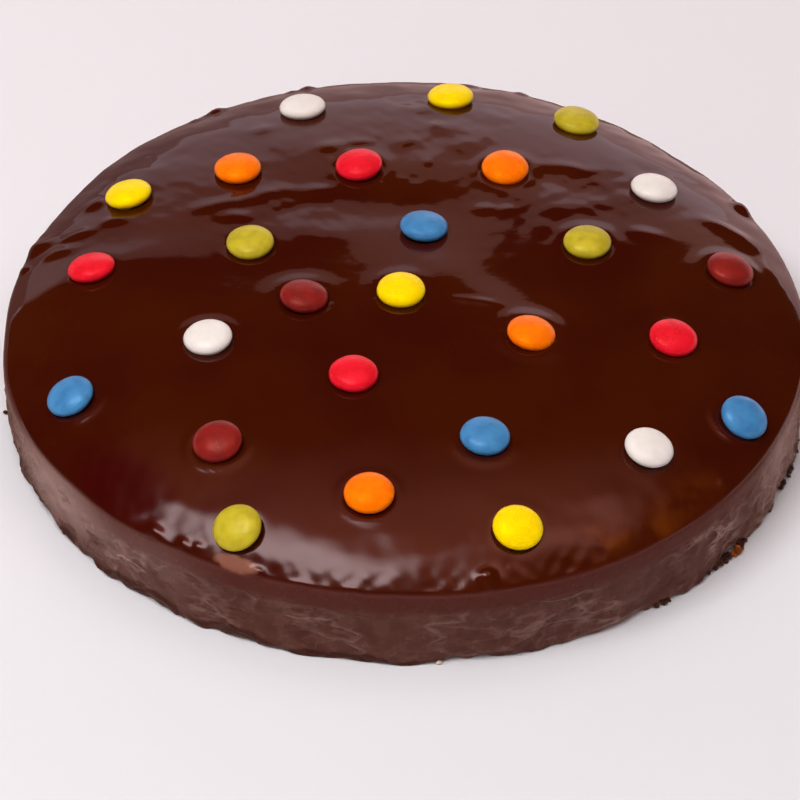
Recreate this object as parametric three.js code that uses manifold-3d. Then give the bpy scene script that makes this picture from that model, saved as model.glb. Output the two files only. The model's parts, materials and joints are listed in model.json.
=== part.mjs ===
// A round chocolate cake, 24 cm across: one plain domed sponge, a poured coat of dark chocolate
// glaze over its top and side, and sugar-coated chocolate lentils pressed into the glaze.
// Units are millimetres and +Z is up. The origin is the middle of the cake's foot, on the
// surface that the cake stands on. Bearings are degrees round +Z, counted from +X.
import * as THREE from "three";
import { ImprovedNoise } from "three/addons/math/ImprovedNoise.js";
import { mergeVertices } from "three/addons/utils/BufferGeometryUtils.js";
import Module from "manifold-3d";

const wasm = await Module();
wasm.setup();
const noise = new ImprovedNoise();

// ---- Driving dimensions -------------------------------------------------------------------

const CAKE_RADIUS = 120; // at the rim, the widest line of the glazed cake
const CAKE_HEIGHT = 41; // at the crown of the dome
const GLAZE_THICKNESS = 2.8; // of the coat, on the top and on the side
const FIT_GAP = 0.3; // free space that two neighbouring solids keep

// The dome: slopes in degrees that the top reaches at the rim, one spread over the whole top and
// one that grows only near the edge, as the SHOULDER_POWERth power of the radius.
const DOME_SLOPE = 4.6;
const SHOULDER_SLOPE = 31.8;
const SHOULDER_POWER = 6;
const SHOULDER_RADIUS = 117; // where the top ends and the round of the rim begins
const RIM_DROP = 3.4; // from there down to the widest line

// The wall under the rim, which leans in a little to the foot. The foot sits off the middle.
const FOOT_RADIUS = 119.1;
const FOOT_SHIFT = { distance: 1.2, bearing: -40 };
const GLAZE_EDGE_HEIGHT = 1.2; // mean height of the coat's lower edge over the foot
const GLAZE_EDGE_WAVER = 0.5;

// Unevenness of a cake made by hand: lobes and flat places of the outline, slow waves of the
// top, and dents of the coat on the wall with ridges between them.
const OUTLINE_LOBES = [
  { lobes: 3, height: 0.7, bearing: -30 },
  { lobes: 4, height: 0.35, bearing: 28 },
  { lobes: 5, height: 0.3, bearing: 0 },
];
const OUTLINE_FLATS = [
  { depth: 1.4, bearing: 50, spread: 10 },
  { depth: 1.0, bearing: 154, spread: 9 },
  { depth: 0.6, bearing: 177, spread: 5 },
];
const SWELL = { height: 0.55, length: 34 };
const WRINKLE = { depth: 2.2, length: 9, slant: 0.7 };
const SMOOTH_BAND = 4; // height of the stretch under the rim that has no dents

// Crumbs that lie under the coat along the rim and push it up: bearing and width of each.
const LUMP_RADIUS = 117.4; // how far out from the middle of the cake they lie
const LUMPS = [
  [28, 6.8],
  [72, 4.6],
  [80.5, 6.6],
  [105.5, 4.8],
  [108, 4.2],
  [120.5, 6.2],
  [124.5, 3.8],
  [161, 5.4],
  [-150, 4.2],
  [-110, 4.4],
  [-78, 5.6],
  [-38, 4.4],
];

// Sugar-coated chocolate lentils.
const LENTIL_DIAMETER = 14.4;
const LENTIL_THICKNESS = 6.0;
const LENTIL_SUNK = 1.5; // depth of the lowest point under the face of the glaze

// They are laid by hand in rings. Each is its colour, its bearing, how far it strays outwards
// from its ring, and how it leans from the glaze under it: outwards, and anticlockwise round.
const LENTIL_RINGS = [
  { radius: 5, lentils: [["yellow", -102, 0, 2, 0]] },
  {
    radius: 29,
    lentils: [
      ["blue", 78, -2.5, 5, -2],
      ["maroon", -166, 1.5, -6, -1],
    ],
  },
  {
    radius: 58,
    lentils: [
      ["green", 20.5, 0.5, -2, 0],
      ["orange", 62, 7, -6, -3],
      ["red", 104, 0.5, 0, 5],
      ["green", 158.5, -7.5, 0, 2],
      ["white", -156, 4, 3, -2],
      ["red", -109, -13, 1, 1],
      ["blue", -71, 13.5, 1, 2],
      ["orange", -32, -14.5, 6, 5],
    ],
  },
  {
    radius: 98,
    lentils: [
      ["maroon", 8, 0, 1, -2],
      ["white", 34, -6, 2, 2],
      ["green", 59, 5.5, -6, -4],
      ["yellow", 82, 1, -2, 3],
      ["white", 109.5, -1.5, 1, 0],
      ["orange", 132.5, -22, 0, 0],
      ["yellow", 151, -0.5, 2, -2],
      ["red", 173.5, -3, 1, -8],
      ["blue", -155, 7, 4, -4],
      ["maroon", -127.5, -11.5, 7, 0],
      ["green", -115, 11.5, 4, -8],
      ["orange", -96, -7.5, 0, -1],
      ["yellow", -72, 6.5, 0, 2],
      ["white", -44, -1, 1, 5],
      ["blue", -26.5, 11.5, 3, -2],
      ["red", -15.5, -16.5, 4, -2],
    ],
  },
];

// How finely the solids are faceted.
const WALL_SEGMENTS = 120;
const WALL_ROWS = 7;
const RIM_ROWS = 3;
const SPONGE_SEGMENTS = 60;
const LENTIL_SEGMENTS = 14;
const LENTIL_ROWS = 6;

// ---- Colours ------------------------------------------------------------------------------

const coated = (color) => new THREE.MeshStandardMaterial({ color, roughness: 0.32 });
const MATERIALS = {
  sponge: new THREE.MeshStandardMaterial({ color: 0x4a2412, roughness: 0.95 }),
  glaze: new THREE.MeshStandardMaterial({ color: 0x3c0f05, roughness: 0.14 }),
  white: coated(0xf6ece2),
  yellow: coated(0xffd400),
  green: coated(0xc2b12c),
  orange: coated(0xfc7208),
  red: coated(0xe8182c),
  blue: coated(0x3f8bc4),
  maroon: coated(0x94302a),
};

// ---- Between three.js geometry and manifold-3d solids ---------------------------------------

// A closed geometry as a solid. Only its positions count.
function toSolid(geometry) {
  const bare = new THREE.BufferGeometry();
  bare.setAttribute("position", geometry.getAttribute("position"));
  bare.setIndex(geometry.index);
  const merged = mergeVertices(bare, 1e-4);
  const vertProperties = merged.getAttribute("position").array;
  const triVerts = new Uint32Array(merged.index.array);
  return new wasm.Manifold(new wasm.Mesh({ numProp: 3, vertProperties, triVerts }));
}

function toGeometry(solid) {
  const { vertProperties, triVerts } = solid.getMesh();
  const geometry = new THREE.BufferGeometry();
  geometry.setAttribute("position", new THREE.BufferAttribute(vertProperties, 3));
  geometry.setIndex(new THREE.BufferAttribute(triVerts, 1));
  geometry.computeVertexNormals();
  return geometry;
}

// ---- The form of the cake -------------------------------------------------------------------

const radians = THREE.MathUtils.degToRad;

// How far the top of the dome has fallen at a radius.
function domeDrop(radius) {
  const share = radius / CAKE_RADIUS;
  const slow = (Math.tan(radians(DOME_SLOPE)) * share ** 2) / 2;
  const power = SHOULDER_POWER + 1;
  const steep = (Math.tan(radians(SHOULDER_SLOPE)) * share ** power) / power;
  return CAKE_RADIUS * (slow + steep);
}

// The slope of the dome at a radius, in radians.
function domeSlope(radius) {
  const share = radius / CAKE_RADIUS;
  return radians(DOME_SLOPE * share + SHOULDER_SLOPE * share ** SHOULDER_POWER);
}

const RIM_HEIGHT = CAKE_HEIGHT - domeDrop(SHOULDER_RADIUS) - RIM_DROP;

// The uneven outline: how far it stands out from a circle at a bearing in radians.
function outlineWave(bearing) {
  let out = 0;
  for (const lobe of OUTLINE_LOBES) {
    out += lobe.height * Math.cos(lobe.lobes * (bearing - radians(lobe.bearing)));
  }
  for (const flat of OUTLINE_FLATS) {
    const away = Math.cos(bearing - radians(flat.bearing)) - 1;
    out -= flat.depth * Math.exp(away / radians(flat.spread) ** 2);
  }
  return out;
}

// The radius of the foot at a bearing.
function footRadius(bearing) {
  return FOOT_RADIUS + FOOT_SHIFT.distance * Math.cos(bearing - radians(FOOT_SHIFT.bearing));
}

// The slow waves of the top.
function swell(x, y) {
  return SWELL.height * noise.noise(x / SWELL.length, y / SWELL.length, 0.5);
}

// A place on the face of the glazed top.
function topPoint(radius, bearing) {
  const reach = radius + (outlineWave(bearing) * radius) / CAKE_RADIUS;
  const x = reach * Math.cos(bearing);
  const y = reach * Math.sin(bearing);
  return new THREE.Vector3(x, y, CAKE_HEIGHT - domeDrop(radius) + swell(x, y));
}

// A place on the quarter round of the rim: turn runs from 0 at the top to 1 at the widest line.
function rimPoint(turn, bearing) {
  const start = domeSlope(SHOULDER_RADIUS);
  const angle = THREE.MathUtils.lerp(start, Math.PI / 2, turn);
  const across = (Math.sin(angle) - Math.sin(start)) / (1 - Math.sin(start));
  const down = 1 - Math.cos(angle) / Math.cos(start);
  const edge = topPoint(SHOULDER_RADIUS, bearing);
  const out = (CAKE_RADIUS - SHOULDER_RADIUS) * across;
  edge.x += out * Math.cos(bearing);
  edge.y += out * Math.sin(bearing);
  edge.z -= RIM_DROP * down;
  return edge;
}

// How deep the wall is dented: rounded dents, and sharp ridges where the noise changes sign.
function dent(bearing, height) {
  const slanted = bearing + (WRINKLE.slant * height) / CAKE_RADIUS;
  const x = (CAKE_RADIUS * Math.cos(slanted)) / WRINKLE.length;
  const y = (CAKE_RADIUS * Math.sin(slanted)) / WRINKLE.length;
  const fade = THREE.MathUtils.smoothstep(RIM_HEIGHT - height, SMOOTH_BAND, 2 * SMOOTH_BAND);
  return WRINKLE.depth * fade * Math.abs(noise.noise(x, y, height / WRINKLE.length));
}

// The lower edge of the coat, which wavers round the foot.
function glazeEdge(bearing) {
  const reach = 3;
  const waver = noise.noise(reach * Math.cos(bearing), reach * Math.sin(bearing), 7.5);
  return GLAZE_EDGE_HEIGHT + GLAZE_EDGE_WAVER * waver;
}

// A place on the wall: share runs from 0 at the coat's lower edge to 1 at the widest line.
function wallPoint(share, bearing) {
  const top = rimPoint(1, bearing);
  const height = THREE.MathUtils.lerp(glazeEdge(bearing), top.z, share);
  const face = THREE.MathUtils.lerp(footRadius(bearing), Math.hypot(top.x, top.y), share);
  const radius = face - dent(bearing, height);
  return new THREE.Vector3(radius * Math.cos(bearing), radius * Math.sin(bearing), height);
}

// ---- Closed skins made of rings ---------------------------------------------------------------

// Collects rings of points from the crown to the foot and joins each to the next one. A ring may
// have any number of points, so the middle of the cake needs no more facets than it can show.
class Skin {
  positions = [];
  faces = [];
  last = null;

  ring(count, pointAt) {
    const start = this.positions.length / 3;
    for (let i = 0; i < count; i++) {
      this.positions.push(...pointAt((2 * Math.PI * i) / count).toArray());
    }
    const next = { start, count };
    if (this.last) this.join(this.last, next);
    this.last = next;
  }

  // A band of triangles between two rings, stepping along the one whose next point comes first.
  join(inner, outer) {
    const at = (ring, i) => ring.start + (i % ring.count);
    const innerSteps = inner.count > 1 ? inner.count : 0;
    const outerSteps = outer.count > 1 ? outer.count : 0;
    let i = 0;
    let j = 0;
    while (i < innerSteps || j < outerSteps) {
      const innerNext = (i + 1) / inner.count;
      const outerNext = (j + 1) / outer.count;
      const stepInner = j === outerSteps || (i < innerSteps && innerNext < outerNext);
      if (stepInner) {
        this.faces.push(at(inner, i), at(outer, j), at(inner, i + 1));
        i++;
      } else {
        this.faces.push(at(inner, i), at(outer, j), at(outer, j + 1));
        j++;
      }
    }
  }

  geometry() {
    const geometry = new THREE.BufferGeometry();
    geometry.setAttribute("position", new THREE.Float32BufferAttribute(this.positions, 3));
    geometry.setIndex(this.faces);
    return geometry;
  }
}

// The outer form of the coat, filled down to its lower edge.
function glazedForm() {
  const skin = new Skin();
  skin.ring(1, () => topPoint(0, 0));
  const zones = [
    { segments: WALL_SEGMENTS / 8, radii: [12] },
    { segments: WALL_SEGMENTS / 4, radii: [24, 36] },
    { segments: WALL_SEGMENTS / 2, radii: [48, 60, 72, 83, 92] },
    { segments: WALL_SEGMENTS, radii: [100, 106, 112, SHOULDER_RADIUS] },
  ];
  for (const { segments, radii } of zones) {
    for (const radius of radii) skin.ring(segments, (bearing) => topPoint(radius, bearing));
  }
  for (let row = 1; row <= RIM_ROWS; row++) {
    skin.ring(WALL_SEGMENTS, (bearing) => rimPoint(row / RIM_ROWS, bearing));
  }
  for (let row = WALL_ROWS - 1; row >= 0; row--) {
    skin.ring(WALL_SEGMENTS, (bearing) => wallPoint(row / WALL_ROWS, bearing));
  }
  skin.ring(1, () => new THREE.Vector3(0, 0, GLAZE_EDGE_HEIGHT));
  return toSolid(skin.geometry());
}

// The sponge's form: the cake's own form less the coat and less a further gap, down to a foot.
function spongeForm(gap, foot) {
  const inset = GLAZE_THICKNESS + gap;
  const place = (radius, height) => (bearing) => {
    const reach = radius * (1 + outlineWave(bearing) / CAKE_RADIUS);
    return new THREE.Vector3(reach * Math.cos(bearing), reach * Math.sin(bearing), height);
  };
  const wall = FOOT_RADIUS - FOOT_SHIFT.distance - inset;
  const skin = new Skin();
  const crown = CAKE_HEIGHT - SWELL.height / 2 - inset;
  skin.ring(1, place(0, crown));
  for (const share of [0.3, 0.55, 0.75, 0.86, 0.94]) {
    const height = crown - domeDrop(share * CAKE_RADIUS);
    skin.ring(SPONGE_SEGMENTS / (share < 0.6 ? 2 : 1), place(share * wall, height));
  }
  skin.ring(SPONGE_SEGMENTS, place(wall, RIM_HEIGHT - inset));
  skin.ring(SPONGE_SEGMENTS, place(wall, foot));
  skin.ring(1, place(0, foot));
  return toSolid(skin.geometry());
}

// One lentil, grown by a margin: two shallow domes that meet in a soft edge.
function lentilGeometry(margin) {
  const radius = LENTIL_DIAMETER / 2 + margin;
  const half = LENTIL_THICKNESS / 2 + margin;
  const profile = [];
  for (let row = 0; row <= LENTIL_ROWS; row++) {
    const angle = Math.PI * (row / LENTIL_ROWS - 0.5);
    const r = row % LENTIL_ROWS === 0 ? 0 : radius * Math.cos(angle) ** 0.9;
    profile.push(new THREE.Vector2(r, half * Math.sin(angle)));
  }
  // A lathe turns its profile round Y, and a lentil lies flat with its axis on Z.
  return new THREE.LatheGeometry(profile, LENTIL_SEGMENTS).rotateX(Math.PI / 2);
}

// Puts an object on the glaze: its axis square to the dome there, then leant by two angles.
function settle(object, radius, bearing, leanOut, leanRound) {
  const turn = radians(bearing);
  const face = topPoint(radius, turn);
  const tilt = domeSlope(radius) + radians(leanOut);
  const out = new THREE.Vector3(Math.cos(turn), Math.sin(turn), 0);
  const round = new THREE.Vector3(-Math.sin(turn), Math.cos(turn), 0);
  const axis = new THREE.Vector3(0, 0, 1);
  axis.addScaledVector(out, Math.tan(tilt));
  axis.addScaledVector(round, Math.tan(radians(leanRound)));
  axis.normalize();
  object.quaternion.setFromUnitVectors(new THREE.Vector3(0, 0, 1), axis);
  object.position.copy(face).addScaledVector(axis, LENTIL_THICKNESS / 2 - LENTIL_SUNK);
  object.updateMatrix();
}

// ---- The pieces ---------------------------------------------------------------------------------

function makeSponge() {
  const sponge = new THREE.Mesh(toGeometry(spongeForm(0, 0)), MATERIALS.sponge);
  sponge.name = "sponge";
  return sponge;
}

function makeLentils() {
  const geometry = lentilGeometry(0);
  const laid = LENTIL_RINGS.flatMap(({ radius, lentils }) =>
    lentils.map(([color, bearing, stray, out, round]) => [color, radius + stray, bearing, out, round]),
  );
  return laid.map(([color, ...place], index) => {
    const lentil = new THREE.Mesh(geometry, MATERIALS[color]);
    lentil.name = `lentil_${String(index + 1).padStart(2, "0")}`;
    settle(lentil, ...place);
    return lentil;
  });
}

// A crumb under the coat: a small ball, longer along the rim, and half of it out of the face.
function lump(bearing, width) {
  const ball = new THREE.IcosahedronGeometry(width / 2, 1);
  ball.scale(0.8, 1, 0.75);
  ball.rotateZ(radians(bearing));
  const place = topPoint(LUMP_RADIUS, radians(bearing));
  ball.translate(place.x, place.y, place.z - width / 6);
  return toSolid(ball);
}

// The coat is the cake's outer form less the sponge and less a seat for each lentil.
function makeGlaze(lentils) {
  let coat = glazedForm();
  for (const [bearing, width] of LUMPS) coat = coat.add(lump(bearing, width));
  const below = -CAKE_HEIGHT;
  coat = coat.subtract(spongeForm(-FIT_GAP, below));
  const seat = lentilGeometry(FIT_GAP);
  for (const lentil of lentils) {
    coat = coat.subtract(toSolid(seat.clone().applyMatrix4(lentil.matrix)));
  }
  const glaze = new THREE.Mesh(toGeometry(coat), MATERIALS.glaze);
  glaze.name = "glaze";
  return glaze;
}

const cake = new THREE.Group();
const lentils = makeLentils();
cake.add(makeSponge(), makeGlaze(lentils), ...lentils);

export default cake;
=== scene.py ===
# %% [markdown]
# # A glazed chocolate cake
#
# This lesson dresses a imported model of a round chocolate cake, 24 cm across. The model is the
# frame: its solids say where everything is, and each new piece is made in metres in the same
# place. The real cake is a low sponge, turned out of its tin, with a coat of dark chocolate
# poured over it and sugar-coated chocolate lentils pressed into the coat before it set.
#
# Almost all that one sees of it is gloss. The coat is so dark that its form shows only in what
# it mirrors, so the work goes into the gentle relief of its face, and into a studio worth
# mirroring.

# %% Load the frame
import json
import math
import random

import bpy
import numpy as np
from mathutils import Matrix, Vector


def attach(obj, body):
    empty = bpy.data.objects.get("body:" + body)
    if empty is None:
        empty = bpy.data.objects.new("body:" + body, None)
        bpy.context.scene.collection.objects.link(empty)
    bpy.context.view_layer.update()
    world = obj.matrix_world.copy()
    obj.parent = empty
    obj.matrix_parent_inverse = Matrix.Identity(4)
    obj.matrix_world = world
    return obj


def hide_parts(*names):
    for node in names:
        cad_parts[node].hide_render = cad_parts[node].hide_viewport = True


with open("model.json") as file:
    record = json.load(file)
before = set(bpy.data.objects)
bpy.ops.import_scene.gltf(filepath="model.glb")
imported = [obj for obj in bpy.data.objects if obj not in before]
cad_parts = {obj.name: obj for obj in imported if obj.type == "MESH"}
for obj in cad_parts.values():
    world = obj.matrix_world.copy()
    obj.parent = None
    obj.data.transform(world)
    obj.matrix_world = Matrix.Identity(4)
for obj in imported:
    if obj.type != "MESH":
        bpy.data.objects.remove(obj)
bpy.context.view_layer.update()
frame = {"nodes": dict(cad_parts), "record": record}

MM = 0.001

# %% [markdown]
# ## The camera
#
# The camera comes first, because it settles what will be seen. The photo looks down on the cake
# by about 40 degrees from 1.4 m away through a long lens, which keeps the far rim nearly as wide
# as the near one. The cake fills the picture from side to side, and the picture leans by half a
# degree. The aim is a little off the middle of the cake's foot, so no lens shift is needed.

# %% Place the camera
VIEW_DISTANCE = 1.395
VIEW_ELEVATION = math.radians(40.6)
VIEW_ROLL = math.radians(0.59)
FOCAL_PIXELS = 4616
PICTURE_PIXELS = 800
FOOT_PIXEL = (403.5, 389.0)
SENSOR = 36

eye = VIEW_DISTANCE * Vector((0, -math.cos(VIEW_ELEVATION), math.sin(VIEW_ELEVATION)))
looking = Matrix.Rotation(math.pi / 2 - VIEW_ELEVATION, 4, "X") @ Matrix.Rotation(VIEW_ROLL, 4, "Z")
metres_a_pixel = VIEW_DISTANCE / FOCAL_PIXELS
off_middle = Vector((
    (PICTURE_PIXELS / 2 - FOOT_PIXEL[0]) * metres_a_pixel,
    (FOOT_PIXEL[1] - PICTURE_PIXELS / 2) * metres_a_pixel,
    0,
))
aim = looking.to_3x3() @ off_middle
to_aim = (aim - eye).normalized()
turn = (-eye).normalized().rotation_difference(to_aim)

bpy.ops.object.camera_add()
camera = bpy.context.object
camera.name = "camera"
camera.matrix_world = Matrix.Translation(eye) @ turn.to_matrix().to_4x4() @ looking
camera.data.sensor_width = SENSOR
camera.data.lens = FOCAL_PIXELS / PICTURE_PIXELS * SENSOR
camera.data.clip_start = 0.05
camera.data.clip_end = 30
bpy.context.scene.camera = camera
print("lens:", round(camera.data.lens, 1), "mm, eye:", tuple(round(v, 3) for v in eye))

# %% [markdown]
# ## Working by hand
#
# An operator acts on whatever is selected, and the frame's solids are selected when they arrive.
# So every step starts by picking one piece. A pull is the sculptor's basic move: one point is
# moved, and its neighbours follow it less and less, out to the reach of the pull.

# %% Pick and pull
TOUCHING = 1e-7


def pick(piece):
    """Leaves this piece alone selected and active."""
    bpy.ops.object.select_all(action="DESELECT")
    piece.select_set(True)
    bpy.context.view_layer.objects.active = piece


def to_mode(mode):
    bpy.ops.object.mode_set(mode=mode)


def places(piece):
    """Where the piece's points are, one row each."""
    spots = np.empty(len(piece.data.vertices) * 3)
    piece.data.vertices.foreach_get("co", spots)
    return spots.reshape(-1, 3)


def choose(piece, chosen):
    """Selects only the points that are marked True, and stays in edit mode."""
    to_mode("EDIT")
    bpy.ops.mesh.select_mode(type="VERT")
    bpy.ops.mesh.select_all(action="DESELECT")
    to_mode("OBJECT")
    piece.data.vertices.foreach_set("select", chosen)
    to_mode("EDIT")


def pull(piece, place, move, reach):
    """Moves the point nearest to a place, and its neighbours with it."""
    away = np.linalg.norm(places(piece) - np.array(place), axis=1)
    choose(piece, away <= away.min() + TOUCHING)
    bpy.ops.transform.translate(
        value=move,
        use_proportional_edit=True,
        proportional_edit_falloff="SMOOTH",
        proportional_size=reach,
    )
    to_mode("OBJECT")


def scale_points(piece, chosen, factors):
    """Scales the points that are marked True, about the middle of the cake's foot."""
    choose(piece, chosen)
    bpy.ops.transform.resize(value=factors, center_override=(0, 0, 0))
    to_mode("OBJECT")


def finish_with(piece, kind, name, **settings):
    """Adds a modifier, sets it and applies it."""
    pick(piece)
    modifier = piece.modifiers.new(name, kind)
    for key, value in settings.items():
        setattr(modifier, key, value)
    bpy.ops.object.modifier_apply(modifier=name)


def around(radius, bearing, height):
    """A place by its distance from the cake's axis, its bearing in degrees and its height."""
    turn = math.radians(bearing)
    return Vector((radius * math.cos(turn), radius * math.sin(turn), height))


# %% [markdown]
# ## The glaze: its profile
#
# A poured coat is one smooth skin, so it starts as one ring of points at the foot, which is
# extruded row by row: up the wall, round the rim and in over the dome. The rows are those of a
# coarse cage, and a Subdivision Surface rounds it off. The profile is the solid's own: a wall
# 24 mm high, a tight round at the rim, and a dome that falls slowly at first and then fast.

# %% Start a ring and raise rows from it
def start_ring(name, segments, radius, height=0, **settings):
    """Adds a ring of points round the axis, and leaves it selected in edit mode."""
    bpy.ops.object.select_all(action="DESELECT")
    bpy.ops.mesh.primitive_circle_add(
        vertices=segments, radius=radius, location=(0, 0, height), **settings
    )
    ring = bpy.context.object
    ring.name = name
    bpy.ops.object.transform_apply()
    to_mode("EDIT")
    bpy.ops.mesh.select_all(action="SELECT")
    return ring


def raise_rows(start, rows, extrude=bpy.ops.mesh.extrude_region_move):
    """Extrudes the ring row by row. Each row is a distance from the axis and a height."""
    radius, height = start
    for next_radius, next_height in rows:
        extrude(TRANSFORM_OT_translate={"value": (0, 0, next_height - height)})
        grow = next_radius / radius
        bpy.ops.transform.resize(value=(grow, grow, 1), center_override=(0, 0, next_height))
        radius, height = next_radius, next_height


# %% Draw the profile of the glaze
CAKE_RADIUS = 120 * MM
CAKE_HEIGHT = 41 * MM
DOME_SLOPE = math.tan(math.radians(4.6))
SHOULDER_SLOPE = math.tan(math.radians(31.8))
SHOULDER_RADIUS = 118.3 * MM
RIM_DROP = 2.4 * MM
FOOT_RADIUS = 119.1 * MM
HEM_HEIGHT = 0.35 * MM
WALL_ROWS = (4.5, 8, 11.5, 15, 18, 20.5, 22.6)
RIM_TURNS = (1, 0.62, 0.28)
CROWN_HOLE = 2.6 * MM


def dome_height(radius):
    """The height of the dome's face at a distance from the axis."""
    share = radius / CAKE_RADIUS
    return CAKE_HEIGHT - CAKE_RADIUS * (DOME_SLOPE * share**2 / 2 + SHOULDER_SLOPE * share**7 / 7)


def dome_slope(radius):
    """How steeply the dome falls there, as an angle."""
    share = radius / CAKE_RADIUS
    return math.atan(DOME_SLOPE * share + SHOULDER_SLOPE * share**6)


rim_height = dome_height(SHOULDER_RADIUS) - RIM_DROP
profile = [(FOOT_RADIUS - 0.5 * MM, HEM_HEIGHT), (FOOT_RADIUS, 1.6 * MM)]
for height in WALL_ROWS:
    share = height * MM / rim_height
    profile.append((FOOT_RADIUS + share * (CAKE_RADIUS - FOOT_RADIUS), height * MM))
start = dome_slope(SHOULDER_RADIUS)
for turn_share in RIM_TURNS:
    angle = start + turn_share * (math.pi / 2 - start)
    across = (math.sin(angle) - math.sin(start)) / (1 - math.sin(start))
    down = 1 - math.cos(angle) / math.cos(start)
    radius = SHOULDER_RADIUS + (CAKE_RADIUS - SHOULDER_RADIUS) * across
    profile.append((radius, dome_height(SHOULDER_RADIUS) - RIM_DROP * down))
radius = SHOULDER_RADIUS
while radius > 2 * CROWN_HOLE:
    profile.append((radius, dome_height(radius)))
    radius -= (2.6 if radius > 110 * MM else 5 if radius > 40 * MM else 8) * MM
profile.append((CROWN_HOLE, dome_height(CROWN_HOLE)))
print("rows of the profile:", len(profile), "rim height:", round(rim_height / MM, 1), "mm")

# %% Raise the cage of the glaze
CAGE_SEGMENTS = 160

glaze = start_ring("glaze_coat", CAGE_SEGMENTS, *profile[0])
raise_rows(profile[0], profile[1:])
bpy.ops.mesh.select_all(action="SELECT")
bpy.ops.mesh.normals_make_consistent(inside=False)
to_mode("OBJECT")
print("points of the cage:", len(glaze.data.vertices))

# %% [markdown]
# ## The glaze: an uneven cake
#
# No tin and no hand makes a true circle. The outline has slow lobes and three flat places, and the
# foot sits a little off the middle. Both are pulled into the cage, where a pull costs little. Each
# pull is only what is still missing there, since the pulls beside it have moved the place too.
#
# On the dome, the solids already say how high the face is under each lentil, so the cage is
# pulled there until every lentil sits as deep in the new face as in the old one.

# %% Pull the outline and the foot
# lobes to the turn, height and crest, in millimetres and degrees
OUTLINE_LOBES = [(3, 0.7, -30), (4, 0.35, 28), (5, 0.3, 0)]
# depth, bearing and spread
OUTLINE_FLATS = [(1.4, 50, 10), (1.0, 154, 9), (0.6, 177, 5)]
# how far, and towards which bearing
FOOT_SHIFT = (1.2, -40)


def outline_wave(bearing):
    """How far the rim stands out from a circle, in metres, at a bearing in degrees."""
    out = 0
    for lobes, height, crest in OUTLINE_LOBES:
        out += height * math.cos(math.radians(lobes * (bearing - crest)))
    for depth, middle, spread in OUTLINE_FLATS:
        near = math.cos(math.radians(bearing - middle)) - 1
        out -= depth * math.exp(near / math.radians(spread) ** 2)
    return out * MM


def foot_wave(bearing):
    distance, towards = FOOT_SHIFT
    return distance * MM * math.cos(math.radians(bearing - towards))


def reach_of(piece, bearing, height):
    """The piece's distance from the axis at its point nearest to a bearing and a height."""
    spots = places(piece)
    away = spots - np.array(around(CAKE_RADIUS, bearing, height))
    nearest = np.argmin(np.linalg.norm(away, axis=1))
    return float(np.hypot(*spots[nearest][:2]))


PULL_BEARINGS = range(0, 360, 15)
for height, base, wave, reach in (
    (rim_height, CAKE_RADIUS, outline_wave, 30 * MM),
    (HEM_HEIGHT, FOOT_RADIUS, foot_wave, 20 * MM),
):
    for bearing in list(PULL_BEARINGS) * 2:
        missing = base + wave(bearing) - reach_of(glaze, bearing, height)
        place = around(CAKE_RADIUS, bearing, height)
        pull(glaze, place, around(missing, bearing, 0), reach)
radii = [round(reach_of(glaze, b, rim_height) / MM, 1) for b in range(0, 360, 45)]
print("rim radii every 45 degrees:", radii)

# %% Find the lentils and settle the dome on them
LENTIL_THICKNESS = 6 * MM
LENTIL_SUNK = 1.5 * MM
SEAT_REACH = 26 * MM


def lie_of(node):
    """The middle of a lentil's solid, and its axis, which is its flattest direction."""
    spots = places(frame["nodes"][node])
    middle = (spots.min(axis=0) + spots.max(axis=0)) / 2
    _, _, directions = np.linalg.svd(spots - spots.mean(axis=0), full_matrices=False)
    axis = directions[2] * math.copysign(1, directions[2][2])
    return Vector(middle), Vector(axis)


lentil_nodes = sorted(name for name in frame["nodes"] if name.startswith("lentil_"))
lies = {name: lie_of(name) for name in lentil_nodes}
seats = []
for middle, axis in lies.values():
    seats.append(middle - axis * (LENTIL_THICKNESS / 2 - LENTIL_SUNK))


def height_at(piece, place):
    """How high the piece's face is over a place of the floor."""
    found, spot, _, _ = piece.ray_cast(Vector((place[0], place[1], 1)), Vector((0, 0, -1)))
    return spot.z if found else 0


for _ in range(3):
    for seat in seats:
        missing = seat.z - height_at(glaze, seat)
        pull(glaze, seat, (0, 0, missing), SEAT_REACH)
left = [abs(seat.z - height_at(glaze, seat)) / MM for seat in seats]
print("lentils:", len(lies), "largest step left under one:", round(max(left), 2), "mm")

# %% Round the cage off
finish_with(glaze, "SUBSURF", "rounding", levels=2, render_levels=2)
print("points of the rounded coat:", len(glaze.data.vertices))

# %% [markdown]
# ## The glaze: relief
#
# The rounded coat has a point every millimetre, which is fine enough to sculpt. A Displace
# modifier with a painted mask raises each point by as much as it is painted, as an inflate brush
# does. So relief is written as heights, one for each point, and `emboss` paints and applies them.
#
# A mirror shows slopes, not heights. A wave 8 mm long and only 0.02 mm high already tilts the
# face by one degree, and turns the mirror image by two. That is why all of this is so small.

# %% Paint and emboss
def paint(piece, name, weights):
    """Gives each point of the piece its own weight in a new vertex group."""
    group = piece.vertex_groups.new(name=name)
    for point in np.flatnonzero(weights > 0):
        group.add([int(point)], float(weights[point]), "REPLACE")


def emboss(piece, name, heights, direction="NORMAL"):
    """Raises each point by its own height, and sinks it where the height is below zero."""
    for side in (1, -1):
        most = float((side * heights).max())
        if most <= 0:
            continue
        paint(piece, name, np.clip(side * heights / most, 0, 1))
        finish_with(
            piece, "DISPLACE", name,
            vertex_group=name, direction=direction, mid_level=0, strength=side * most,
        )
        piece.vertex_groups.remove(piece.vertex_groups[name])


def ease(low, high, values):
    """Rises smoothly from 0 at one value to 1 at the other."""
    share = np.clip((values - low) / (high - low), 0, 1)
    return share * share * (3 - 2 * share)


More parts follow.
